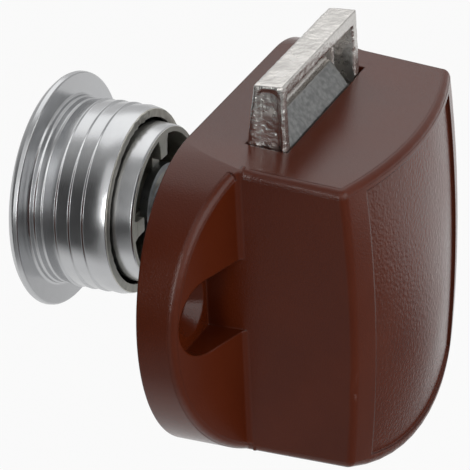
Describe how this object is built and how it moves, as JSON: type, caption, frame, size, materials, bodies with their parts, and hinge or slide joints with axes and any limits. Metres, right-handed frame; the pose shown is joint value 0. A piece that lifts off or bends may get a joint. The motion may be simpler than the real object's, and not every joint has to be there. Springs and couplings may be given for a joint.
{
  "type": "pushbutton cabinet lock",
  "caption": "Cabinet door lock with a moulded screw-on housing, a sprung rising bolt and a round push knob that works it through a barbed door rosette.",
  "frame": {"origin": "on the knob axis, on the plane of the housing's face that lies against the inside of the door, midway between the two fixing screws", "axes": "+Y back into the cabinet, -Y out to the knob, +Z the way the bolt comes out, X across the width through the two fixing screws"},
  "size_m": [0.063, 0.0515, 0.0525],
  "materials": {
    "housing_plastic": "satin moulded, grained back panel",
    "plate_steel": "zinc plated",
    "screw_steel": "bright zinc plated",
    "spring_steel": "bright",
    "bolt_zinc": "nickel plated die casting",
    "plunger_plastic": "moulded",
    "bush_brass": "turned",
    "buffer_rubber": "matt",
    "satin_chrome": "satin"
  },
  "bodies": {
    "root": {"housing": "housing_plastic", "base_plate": "plate_steel", "base_plate_screws": "screw_steel", "bolt_leaf_springs": "spring_steel", "plunger_bush": "bush_brass", "stop_buffer": "buffer_rubber", "return_spring": "spring_steel", "spring_guide_pin": "screw_steel", "latch_track": "bolt_zinc", "latch_track_screws": "screw_steel", "rosette": "satin_chrome"},
    "knob_unit": {"knob": "satin_chrome", "knob_hub_ring": "spring_steel", "spindle": "screw_steel", "spindle_pin": "screw_steel", "plunger": "plunger_plastic", "trunnion_pins": "screw_steel", "latch_wire": "spring_steel", "latch_wire_pin": "screw_steel"},
    "bolt_unit": {"bolt": "bolt_zinc"}
  },
  "joints": [
    {"name": "knob_push", "type": "slide", "parent": "root", "child": "knob_unit", "axis": [0, -1, 0], "range_m": [-0.001, 0.0085], "deforming": ["return_spring", "latch_wire"]},
    {"name": "bolt_slide", "type": "slide", "parent": "root", "child": "bolt_unit", "axis": [0, 0, -1], "range_m": [-0.001, 0.0085]}
  ],
  "couplings": [
    {"joint": "bolt_slide", "follows": "knob_push", "ratio": 1}
  ]
}
